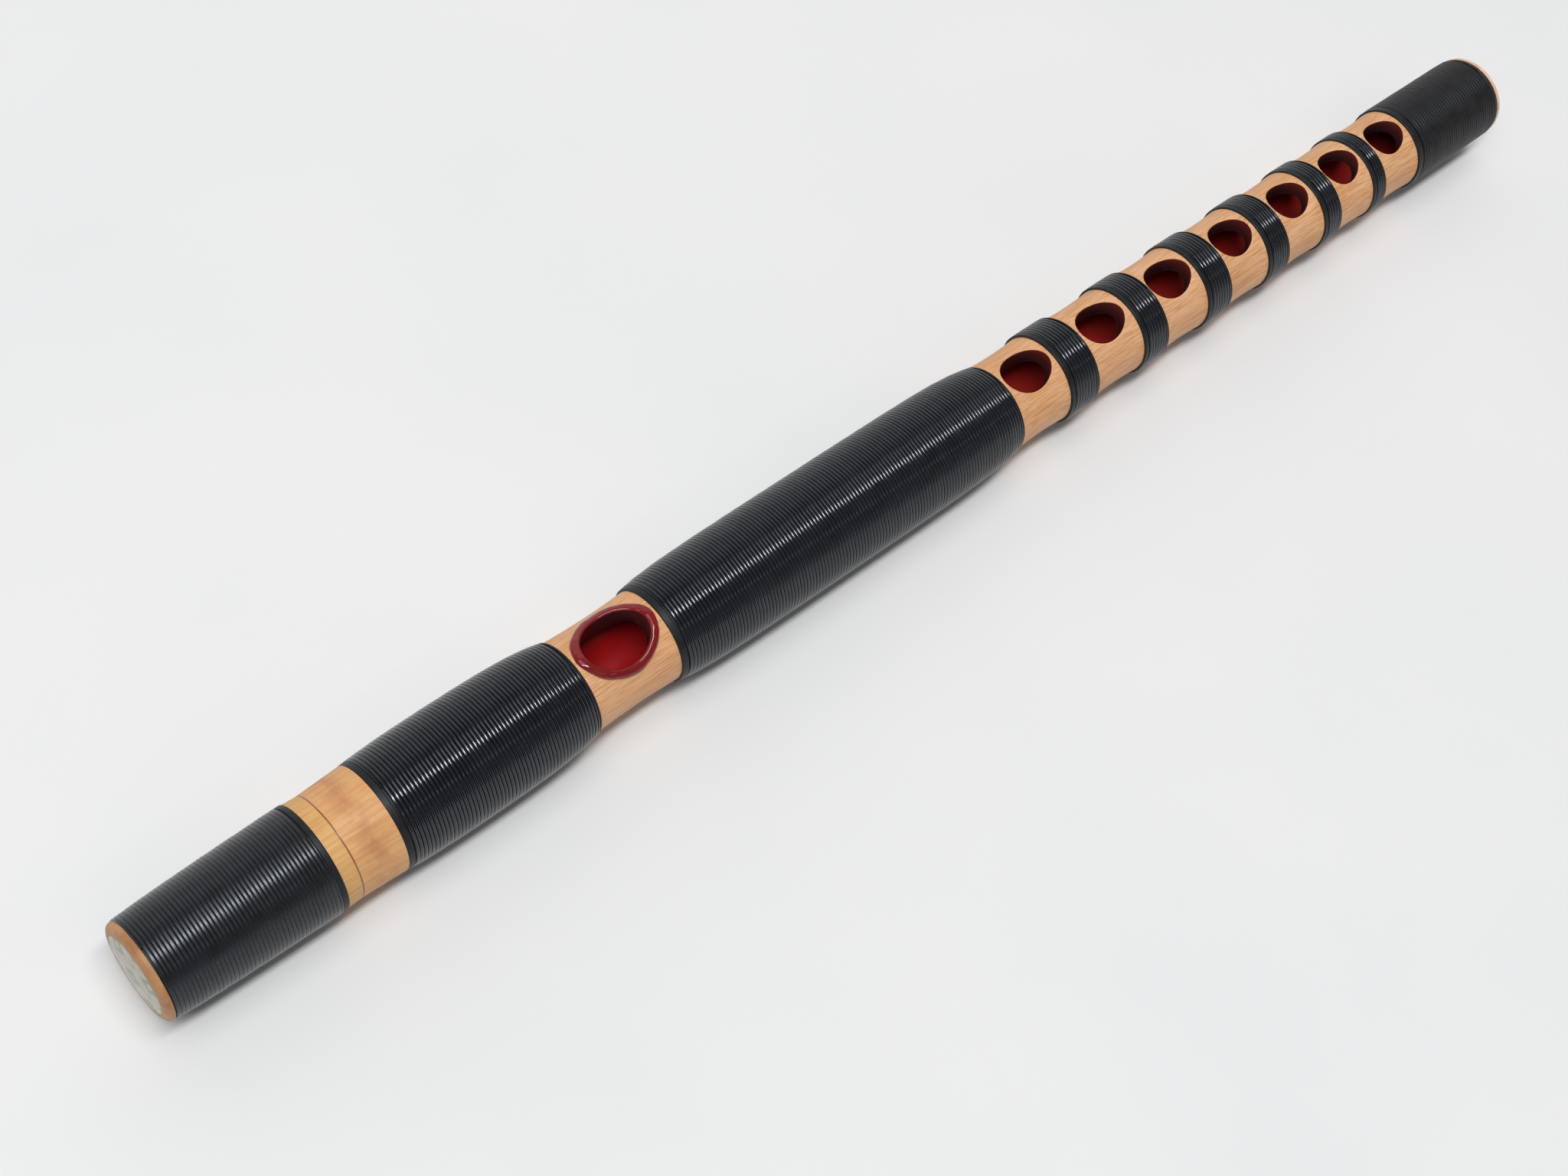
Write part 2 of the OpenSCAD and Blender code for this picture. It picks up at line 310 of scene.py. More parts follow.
def skin_finish(name, dark, light, smudge):
    """The smooth skin by the head.

    smudge is how strongly the cane's old joint stains it past the seam.
    """
    finish = Finish(name, IOR=1.48)
    cloud = finish.noise((90, 120, 120), 4, (2.0, 4.0, 1.0))
    fibre = finish.noise((50, 1700, 1700), 3, rough=0.6)
    blotch = finish.noise((330, 200, 200), 4, (5.0, 2.0, 7.0))
    body = finish.ramp(cloud, (0.3, tint(*dark)), (0.7, tint(*light)))
    streak = finish.ramp(fibre, (0.34, tint(206, 160, 104)), (0.55, WHITE), (1.0, WHITE))
    toned = finish.blend(0.32, body, streak, "MULTIPLY")
    place_x = finish.add("ShaderNodeSeparateXYZ", Vector=finish.object_place).outputs["X"]
    joint_x = SEAM_X + 5.0 * MM
    away = finish.math("ABSOLUTE", finish.math("SUBTRACT", place_x, joint_x), 0.0)
    near = finish.mask(away, 3.6 * MM, 0.4 * MM)
    ring = finish.math("MULTIPLY", near, finish.mask(blotch, 0.36, 0.66))
    finish.colour(finish.blend(finish.math("MULTIPLY", ring, smudge), toned, tint(178, 114, 80)))
    finish.gloss(cloud, 0.48, 0.62)
    finish.bump(fibre, 0.03 * MM, 0.4)
    return finish.material


def end_grain_finish(name, tones, dot, amount, scale):
    """Cut bamboo at an end: three cloudy tones, with the darker dots of cut fibre bundles."""
    finish = Finish(name, IOR=1.48)
    spot = finish.stretched(scale)
    cells = finish.add("ShaderNodeTexVoronoi", Vector=spot, Scale=1.0, Randomness=0.9)
    dots = finish.mask(cells.outputs["Distance"], 0.32, 0.12)
    cloud = finish.noise((300, 300, 300), 4)
    dark, middling, light = tones
    body = finish.ramp(cloud, (0.3, tint(*dark)), (0.55, tint(*middling)), (0.75, tint(*light)))
    finish.colour(finish.blend(finish.math("MULTIPLY", dots, amount), body, tint(*dot)))
    finish.gloss(cloud, 0.4, 0.6)
    finish.bump(cells.outputs["Distance"], 0.04 * MM, 0.4)
    return finish.material


def winding_finish(name, dark, light, smooth, rough, shine):
    """Black lacquer over thread: bluish gloss with faint haze and hairline wear.

    smooth and rough are the least and the most roughness.
    """
    finish = Finish(name, IOR=1.5, Specular_IOR_Level=shine, Specular_Tint=(0.86, 0.93, 1.0, 1.0))
    haze = finish.noise((260, 420, 420), 4)
    fine = finish.noise((1500, 5200, 5200), 3, (4.0, 1.0, 2.0))
    finish.colour(finish.ramp(haze, (0.3, tint(*dark)), (0.7, tint(*light))))
    finish.gloss(haze, smooth, rough)
    finish.bump(fine, 0.012 * MM, 0.5)
    return finish.material


def lacquer_finish(name, deep, bright, rough, shine, coat, tail=None, shade=None):
    """Red lacquer, a little darker where it lies thick.

    tail is its tone by the finger holes. shade is painted shade: a darker tone and two heights from
    the axis, where that painted shade starts and where it is full.
    """
    finish = Finish(name, Coat_Weight=coat, Coat_Roughness=0.03, IOR=1.52, Specular_IOR_Level=shine)
    pool = finish.noise((160, 240, 240), 3, (1.0, 9.0, 4.0))
    fine = finish.noise((900, 900, 900), 3)
    tone = finish.ramp(pool, (0.3, tint(*deep)), (0.7, tint(*bright)))
    parts = finish.add("ShaderNodeSeparateXYZ", Vector=finish.object_place).outputs
    if tail:
        by_holes = finish.mask(parts["X"], MOUTH_X, MOUTH_X + 100 * MM)
        tone = finish.blend(by_holes, tone, tint(*tail))
    # Painted shade: the tone darkens to the shade tone between the two heights.
    if shade:
        painted_shade_tone, start, full = shade
        dim = finish.mask(parts["Z"], AXIS_Z + start, AXIS_Z + full)
        tone = finish.blend(dim, tone, tint(*painted_shade_tone))
    finish.colour(tone)
    finish.gloss(pool, rough, rough + 0.06)
    finish.bump(fine, 0.01 * MM, 0.2)
    return finish.material


def seam_finish():
    """The brown glue line between the head tube and the body."""
    finish = Finish("seam_lacquer", Coat_Weight=0.4, Coat_Roughness=0.2)
    tone = finish.noise((500, 500, 500), 3)
    finish.colour(finish.ramp(tone, (0.3, tint(134, 84, 46)), (0.7, tint(160, 106, 62))))
    finish.gloss(tone, 0.3, 0.5)
    return finish.material


def brocade_finish():
    """Ivory silk with a woven lattice of small green lozenges and rosy sprigs between them."""
    finish = Finish("woven_brocade", Sheen_Weight=0.35, Sheen_Roughness=0.4)
    warp = finish.add("ShaderNodeTexWave", Vector=finish.stretched((0, 1, 0)), Scale=520.0)
    warp.bands_direction = "Y"
    weft = finish.add("ShaderNodeTexWave", Vector=finish.stretched((0, 0, 1)), Scale=700.0)
    weft.bands_direction = "Z"
    parts = finish.add("ShaderNodeSeparateXYZ", Vector=finish.object_place)
    across = parts.outputs["Y"]
    upward = finish.math("SUBTRACT", parts.outputs["Z"], AXIS_Z)
    rising = finish.math("ADD", across, upward)
    falling = finish.math("SUBTRACT", across, upward)
    lattice = 5.2 * MM
    first = finish.math("PINGPONG", rising, lattice)
    second = finish.math("PINGPONG", falling, lattice)
    nearest = finish.math("MAXIMUM", first, second)
    lozenge = finish.mask(nearest, 2.9 * MM, 2.5 * MM)
    core = finish.mask(nearest, 1.2 * MM, 0.9 * MM)
    sprig = finish.mask(finish.math("MINIMUM", first, second), 4.1 * MM, 4.5 * MM)
    cloud = finish.noise((220, 220, 220), 3)
    silk = finish.ramp(cloud, (0.3, tint(180, 173, 156)), (0.7, tint(206, 199, 185)))
    green = finish.blend(finish.math("MULTIPLY", lozenge, 0.9), silk, tint(112, 148, 112))
    heart = finish.blend(finish.math("MULTIPLY", core, 0.85), green, tint(206, 196, 168))
    rosy = finish.blend(finish.math("MULTIPLY", sprig, 0.8), heart, tint(186, 138, 122))
    threads = finish.math("MULTIPLY", warp.outputs["Fac"], weft.outputs["Fac"])
    shade = finish.ramp(threads, (0.0, tint(196, 196, 196)), (0.6, WHITE))
    finish.colour(finish.blend(0.8, rosy, shade, "MULTIPLY"))
    finish.gloss(threads, 0.5, 0.75)
    finish.bump(threads, 0.06 * MM, 0.7)
    return finish.material


def plain_finish(name, dark, light, scale, depth, rough):
    """Two tones of one colour with a matching grain, whose depth is in millimetres."""
    finish = Finish(name)
    grain = finish.noise(scale, 4)
    finish.colour(finish.ramp(grain, (0.3, tint(*dark)), (0.7, tint(*light))))
    finish.gloss(grain, rough, rough + 0.2)
    finish.bump(grain, depth * MM, 0.5)
    return finish.material


BAMBOO = bamboo_finish()
HEAD_SKIN = skin_finish("yellow_skin", (208, 158, 96), (222, 176, 114), 0.0)
SKIN = skin_finish("stained_skin", (210, 154, 98), (222, 172, 118), 0.6)
HEAD_TONES = ((158, 110, 68), (176, 128, 84), (190, 146, 102))
TAIL_TONES = ((218, 176, 146), (230, 193, 166), (240, 208, 184))
HEAD_RIM = end_grain_finish("bamboo_end_grain", HEAD_TONES, (124, 80, 44), 0.35, (1200, 3000, 3000))
TAIL_RIM = end_grain_finish("pale_rim", TAIL_TONES, (158, 108, 74), 0.7, (120, 1900, 1900))
SEAM = seam_finish()
STAIN = plain_finish("lacquer_stain", (44, 30, 26), (70, 46, 36), (300, 900, 900), 0.02, 0.35)
THREAD = winding_finish("lacquered_thread", (12, 13, 16), (24, 25, 29), 0.08, 0.2, 0.66)
HEAD_THREAD = winding_finish("satin_lacquered_thread", (14, 15, 17), (26, 27, 30), 0.21, 0.31, 0.6)
TAIL_THREAD = winding_finish("worn_lacquered_thread", (20, 19, 20), (34, 33, 34), 0.36, 0.5, 0.3)
RED = lacquer_finish("red_lacquer", (112, 18, 20), (134, 24, 24), 0.05, 0.38, 0.22)
# Painted shade in the lacquer: the hole walls darken towards their foot and the bore towards its top.
HOLE_PAINTED_SHADE = ((50, 32, 35), 9.6 * MM, 6.4 * MM)
BORE_PAINTED_SHADE = ((78, 44, 48), -3.5 * MM, 2.5 * MM)
# The hole walls take a darker copy of the red lacquer, as painted shade.
HOLE_RED_PAINTED_SHADE = lacquer_finish(
    "hole_lacquer_painted_shade", (78, 35, 39), (86, 39, 44), 0.4, 0.35, 0.0, (104, 38, 34), HOLE_PAINTED_SHADE
)
# The bore lacquer has painted shade towards the top of the bore.
BORE_RED = lacquer_finish(
    "bore_lacquer_painted_shade", (148, 18, 22), (162, 24, 26), 0.4, 0.1, 0.0, (154, 37, 32), BORE_PAINTED_SHADE
)
BROCADE = brocade_finish()
BARK = plain_finish("smooth_bark", (104, 62, 34), (150, 98, 58), (200, 1500, 1500), 0.06, 0.35)


# Bamboo


def bare_profile(profile, start, end):
    """The radius along the part of a profile that lies between two places."""
    inside = [(x, r) for x, r in profile if start - SAME_PLACE <= x <= end + SAME_PLACE]
    return along(inside)


def oval(a, b, turn):
    return a * math.cos(turn), b * math.sin(turn)


def holed_section(shape, start, end, radius, hole, edge, bore):
    """One bare stretch with an oval hole through its top; edge is the rounding of the hole's rim."""
    centre, a, b = hole
    quarter = math.pi / 2
    side = 24
    steps = 14
    top = AROUND // 2
    border = []
    for k in range(top):
        border.append((end, -quarter + math.pi * k / top))
    for k in range(side):
        border.append((end + (start - end) * k / side, quarter))
    for k in range(top):
        border.append((start, quarter - math.pi * k / top))
    for k in range(side):
        border.append((start + (end - start) * k / side, -quarter))
    turns = []
    for x, angle in border:
        reach = (end - centre) if x > centre else (centre - start)
        turns.append(math.atan2(angle / quarter, (x - centre) / reach))
    rows = []
    for step in spread(0.0, 1.0, steps):
        ease = step ** 1.5
        row = []
        for (x, angle), turn in zip(border, turns):
            dx, y = oval(a + edge, b + edge, turn)
            rim_x = centre + dx
            rim_angle = math.asin(y / radius(rim_x))
            px = rim_x + (x - rim_x) * ease
            row.append(on_tube(px, radius(px), rim_angle + (angle - rim_angle) * ease))
        rows.append(row)
    shape.strip(rows, ring=True)
    wall = [rows[0]]
    for bend in (22.5, 45.0, 67.5, 90.0):
        wall.append([rim_point(centre, a, b, radius, edge, bend, turn) for turn in turns])
    for step in spread(0.0, 1.0, steps):
        row = []
        for (x, angle), turn in zip(border, turns):
            dx, y = oval(a, b, turn)
            foot_x = centre + dx
            foot_angle = math.asin(y / bore)
            px = foot_x + (x - foot_x) * step
            row.append(on_tube(px, bore, foot_angle + (angle - foot_angle) * step))
        wall.append(row)
    shape.strip(wall, ring=True)
    for level in (radius, lambda x: bore):
        below = []
        for x in spread(start, end, side):
            angles = [quarter + math.pi * k / top for k in range(top + 1)]
            below.append([on_tube(x, level(x), angle) for angle in angles])
        shape.strip(below)


def rim_point(centre, a, b, radius, edge, bend, turn, lift=0.0):
    """A point on the rounded rim of a hole: bend 0 is the tube's surface and 90 the hole's wall.

    lift raises it off the rim, for a film that lies on it.
    """
    slope = math.radians(bend)
    out = (edge + lift) * math.sin(slope)
    drop = edge - (edge + lift) * math.cos(slope)
    dx, y = oval(a + edge - out, b + edge - out, turn)
    rim_x, rim_y = oval(a + edge, b + edge, turn)
    top = math.sqrt(radius(centre + rim_x) ** 2 - rim_y ** 2)
    return Vector((centre + dx, y, AXIS_Z + top - drop))


def seam_wave(x, angle):
    """The seam on the bare band wanders a little round the tube."""
    near = max(0.0, 1.0 - abs(x - SEAM_X) / SEAM_REACH)
    return near * SEAM_SWAY * drift(1.6 * math.cos(angle), 1.6 * math.sin(angle), 5.0)


def hole_of(node):
    """A finger hole's centre and half sizes in the bamboo, from the lacquer film that fits it."""
    fit = 0.05 * MM
    return middle(node, 0), half(node, 0) + fit, half(node, 1) + fit


BODY = outer_profile("bamboo_body")
HEAD = outer_profile("bamboo_head")
# The seam: half its width, the half width and depth of the foot of its sides, its depth, how far it
# sways, how far along the tube the sway reaches, and a place past that.
SEAM_HALF = 0.17 * MM
SEAM_NOTCH = 0.06 * MM
SEAM_DEPTH = 0.08 * MM
SEAM_SWAY = 0.22 * MM
SEAM_REACH = 1.5 * MM
PAST_SEAM = 2 * MM
INLAY_RISE = 0.12 * MM
INLAY_DEPTH = 0.4 * MM
# The rim at the head end starts at RIM_X, a little inside the CAD rim, and ends inside at RIM_BACK.
RIM_X = HEAD_X + 0.9 * MM
RIM_BACK = HEAD_X + 2 * MM
INNER_FIT = 0.02 * MM
STAIN_WIDTH = 0.9 * MM
MOUTH_EDGE = 0.3 * MM
HOLE_EDGE = 0.35 * MM
# The half sizes of the mouth hole in its lacquer and in the bamboo.
MOUTH_A = 7.85 * MM
MOUTH_B = 5.9 * MM
MOUTH_SEAT = (MOUTH_A + 0.5 * MM, MOUTH_B + 0.5 * MM)
# The seat under a winding lies this deep, and bare bamboo starts this far past the seat.
WINDING_DEPTH = 0.75 * MM
SEAT_GAP = 0.06 * MM
WRAPS = ["middle_wrap"] + ["band_%d" % k for k in range(1, BANDS + 1)] + ["tail_wrap"]
FINGER_GAPS = [(span(a)[1], span(b)[0]) for a, b in zip(WRAPS, WRAPS[1:])]
HOLES = [hole_of("hole_lining_%d" % k) for k in range(1, FINGER_HOLES + 1)]
MOUTH_GAP = (span("throat_wrap")[1], span("middle_wrap")[0])


def seat_profile(node, tube):
    """The sunken seat that a winding hides, joined to the bare bamboo at both of its ends."""
    start, end = span(node)
    winding = along(outer_profile(node))
    bare = along(tube)
    seat = [(x, winding(x) - WINDING_DEPTH) for x in spread(start, end, 24)]
    return [(start, bare(start - SEAT_GAP))] + seat + [(end, bare(end + SEAT_GAP))]


def make_body():
    """The main tube, with every hole rounded at its rim and the seats that the windings hide."""
    shape = Shape()
    bare_end = span("throat_wrap")[0]
    skin = bare_profile(BODY, SEAM_X, bare_end)
    band = [(x, skin(x)) for x in spread(SEAM_X + SEAM_HALF, bare_end, 14)]
    lathe(shape, band, 1, seam_wave)
    groove = [band[0], (SEAM_X + SEAM_NOTCH, skin(SEAM_X) - SEAM_NOTCH)]
    groove.append((SEAM_X, skin(SEAM_X) - SEAM_DEPTH))
    inside = [(x, BAMBOO_BORE) for x in (SEAM_X, SEAM_X + PAST_SEAM, bare_end)]
    lathe(shape, groove + inside, 2, seam_wave)
    mouth = bare_profile(BODY, *MOUTH_GAP)
    holed_section(shape, *MOUTH_GAP, mouth, (MOUTH_X, *MOUTH_SEAT), MOUTH_EDGE, BAMBOO_BORE)
    for gap, hole in zip(FINGER_GAPS, HOLES):
        holed_section(shape, *gap, bare_profile(BODY, *gap), hole, HOLE_EDGE, BAMBOO_BORE)
    for node in ["throat_wrap"] + WRAPS:
        lathe(shape, seat_profile(node, BODY))
        lathe(shape, [(x, BAMBOO_BORE) for x in span(node)])
    tail_start = span("tail_wrap")[1]
    rim = bare_profile(BODY, tail_start, TAIL_X)
    stain_end = tail_start + STAIN_WIDTH
    lathe(shape, [(x, rim(x)) for x in spread(tail_start, stain_end, 4)], 4)
    lathe(shape, [(x, rim(x)) for x in spread(stain_end, TAIL_X, 8)], 3)
    lathe(shape, [(TAIL_X, rim(TAIL_X)), (TAIL_X, BAMBOO_BORE), (tail_start, BAMBOO_BORE)], 3)
    piece = shape.build("flute_body", [BAMBOO, SKIN, SEAM, TAIL_RIM, STAIN])
    place(piece, "bamboo", "bamboo_body")


def make_head():
    """The short head tube: the bare band up to the seam, and the rounded rim about the brocade."""
    shape = Shape()
    start = span("head_wrap")[1]
    skin = bare_profile(HEAD, start, SEAM_X)
    band = [(x, skin(x)) for x in spread(start, SEAM_X - SEAM_HALF, 8)]
    lathe(shape, band, 0, seam_wave)
    groove = [band[-1], (SEAM_X - SEAM_NOTCH, skin(SEAM_X) - SEAM_NOTCH)]
    groove.append((SEAM_X, skin(SEAM_X) - SEAM_DEPTH))
    front = span("head_wrap")[0]
    inner = half("brocade_disc", 1) + INNER_FIT
    core = half("weight_packing", 1) + INNER_FIT
    plug_end = span("head_plug")[1]
    inside = [(x, core) for x in (SEAM_X, SEAM_X - PAST_SEAM, plug_end)]
    inside += [(plug_end, inner), (RIM_BACK, inner)]
    lathe(shape, groove + inside, 2, seam_wave)
    seat = seat_profile("head_wrap", HEAD)
    lathe(shape, seat, 0)
    rim = [(RIM_BACK, inner), (RIM_X, inner)]
    for x, r in HEAD:
        if x < front:
            rim.append((front + (x - front) * (RIM_X - front) / (HEAD_X - front), r))
    lathe(shape, rim + [seat[0]], 1)
    piece = shape.build("flute_head", [HEAD_SKIN, HEAD_RIM, SEAM], 40)
    place(piece, "bamboo", "bamboo_head")


def make_inlay():
    """The bark inlay under the bare band: an oval cushion, a little proud of the skin."""
    skin = bare_profile(BODY, SEAM_X, span("throat_wrap")[0])
    centre = middle("semi_inlay", 0)
    a = half("semi_inlay", 0)
    b = half("semi_inlay", 1)

    def ring(share, rise):
        row = []
        for turn in ring_angles(AROUND):
            dx, y = oval(share * a, share * b, turn)
            radius = skin(centre + dx)
            row.append(on_tube(centre + dx, radius + rise, math.pi - math.asin(y / radius)))
        return row

    rows = [ring(share, INLAY_RISE * math.sqrt(1 - share ** 4)) for share in spread(0.0, 1.0, 20)]
    back = [ring(1.0, -INLAY_DEPTH), ring(0.0, -INLAY_DEPTH)]
    shape = Shape()
    shape.strip(rows + back, ring=True)
    piece = shape.build("bark_inlay", [BARK], 40)
    place(piece, "bark", "semi_inlay")


# Lacquer

# The film in a finger hole: its thickness, its lift off the rim and the unevenness of its lip in degrees.
HOLE_FILM = 0.25 * MM
LIP_LIFT = 0.03 * MM
LIP_RUN = 9
HOLE_POINTS = 128
# The bead about the mouth hole: where across it the crest lies, how square its outer edge is,
# how high its inner edge ends, its height, and how far it spreads and spills past the CAD rim.
BEAD_CREST = 0.66
BEAD_EDGE = 3.0
BEAD_INNER = 0.45
BEAD_HEIGHT = 0.95 * MM
BEAD_SPREAD = 0.25 * MM
BEAD_SPILL = 0.3 * MM
BEAD_POINTS = 160


def bore_level(y):
    """The height where the bore's surface lies above a place beside the axis."""
    return AXIS_Z + math.sqrt(BORE_R ** 2 - y ** 2)


def hole_foot(centre, a, b, turns):
    """The ring where an upright oval hole meets the bore."""
    ring = []
    for turn in turns:
        dx, y = oval(a, b, turn)
        ring.append(Vector((centre + dx, y, bore_level(y))))
    return ring


def make_hole_lining(number):
    """The lacquer film in a finger hole: a soft lip over the rim, then the wall down to the bore."""
    centre, a, b = HOLES[number - 1]
    radius = bare_profile(BODY, *FINGER_GAPS[number - 1])
    turns = ring_angles(HOLE_POINTS)
    rows = []
    for bend in (48.0, 56.0, 70.0, 90.0):
        row = []
        for turn in turns:
            run = LIP_RUN * drift(2.2 * math.cos(turn), 2.2 * math.sin(turn), number * 3.0)
            slope = min(90.0, bend + run)
            row.append(rim_point(centre, a, b, radius, HOLE_EDGE, slope, turn, LIP_LIFT))
        rows.append(row)
    lip = rows[-1]
    for share in (0.12, 0.3, 0.6, 1.0):
        inset = HOLE_FILM * min(1.0, 0.3 + share)
        row = []
        for turn, top in zip(turns, lip):
            dx, y = oval(a - inset, b - inset, turn)
            row.append(Vector((centre + dx, y, top.z + (bore_level(y) - top.z) * share)))
        rows.append(row)
    foot = hole_foot(centre, a, b, turns)
    back = [rim_point(centre, a, b, radius, HOLE_EDGE, 90.0, turn) for turn in turns]
    shape = Shape()
    shape.strip(rows + [foot, back, rows[0]], ring=True)
    # The film takes the hole lacquer, a darker copy of the red as painted shade.
    piece = shape.build("hole_film_%d" % number, [HOLE_RED_PAINTED_SHADE], 60)
    place(piece, "lacquer", "hole_lining_%d" % number)


def bead_rise(across):
    """The share of the bead's height at a share of its width, from its outer edge to the hole.

    A steep outer edge, a broad crest, and then the turn into the hole.
    """
    if across < BEAD_CREST:
        return (1 - (1 - across / BEAD_CREST) ** BEAD_EDGE) ** (1 / BEAD_EDGE)
    turn = (across - BEAD_CREST) / (1 - BEAD_CREST)
    return BEAD_INNER + (1 - BEAD_INNER) * math.sqrt(1 - turn ** 2)


def make_mouth_rim():
    """The thick uneven bead about the mouth hole, and the lacquered wall below it."""
    radius = bare_profile(BODY, *MOUTH_GAP)
    outer_a = half("mouth_rim", 0) + BEAD_SPREAD
    outer_b = half("mouth_rim", 1) + BEAD_SPREAD
    turns = ring_angles(BEAD_POINTS)
    rows = []
    for step in spread(0.0, 1.0, 26):
        share = (1 - math.cos(math.pi * step)) / 2
        rise = BEAD_HEIGHT * bead_rise(share)
        row = []
        for turn in turns:
            c, s = math.cos(turn), math.sin(turn)
            swell = 1 + 0.16 * drift(1.5 * c, 1.5 * s, 2.0) + 0.1 * drift(5 * c, 5 * s, 6.0)
            swell += 0.04 * drift(12 * c, 12 * s, 8.0)
            spill = BEAD_SPILL * drift(2.4 * c, 2.4 * s, 11.0)
            a = outer_a + (MOUTH_A - outer_a) * share + spill * (1 - share)
            b = outer_b + (MOUTH_B - outer_b) * share + spill * (1 - share)
            dx, y = oval(a, b, turn)
            x = MOUTH_X + dx
            angle = math.asin(y / radius(x))
            row.append(on_tube(x, radius(x) + rise * swell, angle))
        rows.append(row)
    wall = []
    for share in (0.0, 0.06, 0.2, 0.5, 1.0):
        row = []
        for point in rows[-1]:
            drop = (bore_level(point.y) - point.z) * share
            row.append(Vector((point.x, point.y, point.z + drop)))
        wall.append(row)
    a, b = MOUTH_SEAT
    wall.append(hole_foot(MOUTH_X, a, b, turns))
    for bend in (90.0, 45.0, 0.0):
        wall.append([rim_point(MOUTH_X, a, b, radius, MOUTH_EDGE, bend, turn) for turn in turns])
    shape = Shape()
    shape.strip(rows, ring=True)
    # The wall below the bead takes the hole lacquer, a darker copy of the red as painted shade.
    shape.strip(wall + [rows[0]], ring=True, mark=1)
    piece = shape.build("mouth_bead", [RED, HOLE_RED_PAINTED_SHADE], 80)
    place(piece, "lacquer", "mouth_rim")


# Windings

TURN_STEPS = 72
THREAD_POINTS = 10
PITCH = 0.883 * MM
BAND_PITCH = 0.88 * MM
TAIL_PITCH = 0.91 * MM
# How far the crest lies below the CAD sleeve, how uneven turns are in height and, as a share of
# the pitch, in width, and how deep below the sleeve the thread reaches.
CREST_DROP = 0.03 * MM
CREST_DRIFT = 0.045 * MM
GROOVE_SWAY = 0.1
THREAD_DEPTH = 0.48 * MM
# The smooth turns at the ends: the least share of a pitch that is built, their drop, and the
# size of their rounded edges.
LEAST_TIE = 0.2
TIE_DROP = 0.1 * MM
TIE_EDGE = 0.16 * MM
# The sleeve that backs the thread: the depth of its top, and how far short of the ends it stops.
BACKING_TOP = 0.5 * MM
BACKING_INSET = 0.05 * MM


def tie_outline(radius, start, end):
    """The closed outline of the smooth turns between two places, rounded at both edges."""
    corner = 0.3 * TIE_EDGE
    head = radius(start) - TIE_DROP
    tail = radius(end) - TIE_DROP
    outline = [(start, radius(start) - WINDING_DEPTH), (start, head - TIE_EDGE)]
    outline.append((start + corner, head - corner))
    outline += [(x, radius(x) - TIE_DROP) for x in spread(start + TIE_EDGE, end - TIE_EDGE, 6)]
    outline.append((end - corner, tail - corner))
    outline += [(end, tail - TIE_EDGE), (end, radius(end) - WINDING_DEPTH)]
    return outline + outline[:1]


def make_winding(node, material, seed, pitch, ties, relief, fullness):
    """A thread laid turn by turn over the tube, with smooth turns where it is tied off.

    ties are the smooth stretches at both ends, in pitches. relief is the depth of the grooves,
    and a larger fullness makes a flatter crest. seed picks the unevenness of the turns.
    """
    start, end = span(node)
    radius = along(outer_profile(node))
    first = start + ties[0] * pitch
    last = end - ties[1] * pitch
    turns = round((last - first) / pitch)
    step = (last - first) / turns

    def groove(turn):
        """Where the groove before a turn lies; it is also the groove after the turn before."""
        angle = 2 * math.pi * turn
        c, s = math.cos(angle), math.sin(angle)
        sway = GROOVE_SWAY * step * drift(0.9 * turn, 1.2 * c, seed + 1.2 * s)
        return min(max(first + step * (turn - 0.5) + sway, first), last)

    rows = []
    under = []
    for k in range(turns * TURN_STEPS + 1):
        turn = k / TURN_STEPS
        angle = 2 * math.pi * turn
        c, s = math.cos(angle), math.sin(angle)
        lift = CREST_DRIFT * drift(0.55 * turn + 40, 0.8 * c, seed + 0.8 * s)
        left = groove(turn)
        right = groove(turn + 1)
        row = []
        for j in range(THREAD_POINTS + 1):
            u = -math.cos(math.pi * j / THREAD_POINTS)
            x = left + (right - left) * (1 + u) / 2
            crown = math.sqrt(max(0.0, 1 - abs(u) ** fullness))
            height = lift * crown - relief * (1 - crown) - CREST_DROP
            row.append(on_tube(x, radius(x) + height, angle))
        rows.append(row)
        under.append([on_tube(x, radius(x) - THREAD_DEPTH, angle) for x in (left, right)])
    shape = Shape()
    shape.strip(rows)
    shape.strip(under)
    one_turn = TURN_STEPS + 1
    shape.strip([[row[0] for row in side[:one_turn]] for side in (rows, under)])
    shape.strip([[row[-1] for row in side[-one_turn:]] for side in (rows, under)])
    shape.cap(rows[0] + under[0][::-1])
    shape.cap(rows[-1] + under[-1][::-1])
    for a, b in ((start, first), (last, end)):
        if b - a >= LEAST_TIE * pitch:
            lathe(shape, tie_outline(radius, a, b), 1)
    bed = spread(start + BACKING_INSET, end - BACKING_INSET, 40)
    backing = [(x, radius(x) - BACKING_TOP) for x in bed]
    backing += [(x, radius(x) - WINDING_DEPTH) for x in reversed(bed)]
    lathe(shape, backing + backing[:1], 1)
    piece = shape.build(node + "_thread", [material, TAIL_THREAD], 70)
    place(piece, "winding", node)


# Brocade

CLOTH_DOME = 0.52 * MM
CLOTH_PUCKER = 0.05 * MM


def make_brocade():
    """The domed cloth disc in the head end, drawn in a little at its edge."""
    end = span("brocade_disc")[1]
    reach = half("brocade_disc", 1)
    rows = []
    for share in spread(0.0, 1.0, 40):
        row = []
        for angle in ring_angles(AROUND):
            fold = drift(6 * math.cos(angle), 6 * math.sin(angle), 3.0)
            pucker = CLOTH_PUCKER * share ** 6 * fold
            row.append(on_tube(RIM_X - CLOTH_DOME * (1 - share ** 2) + pucker, reach * share, angle))
        rows.append(row)
    rows.append([Vector((end, p.y, p.z)) for p in rows[-1]])
    shape = Shape()
    shape.strip(rows, ring=True)
    piece = shape.build("brocade_cloth", [BROCADE], 60)
    place(piece, "brocade", "brocade_disc")


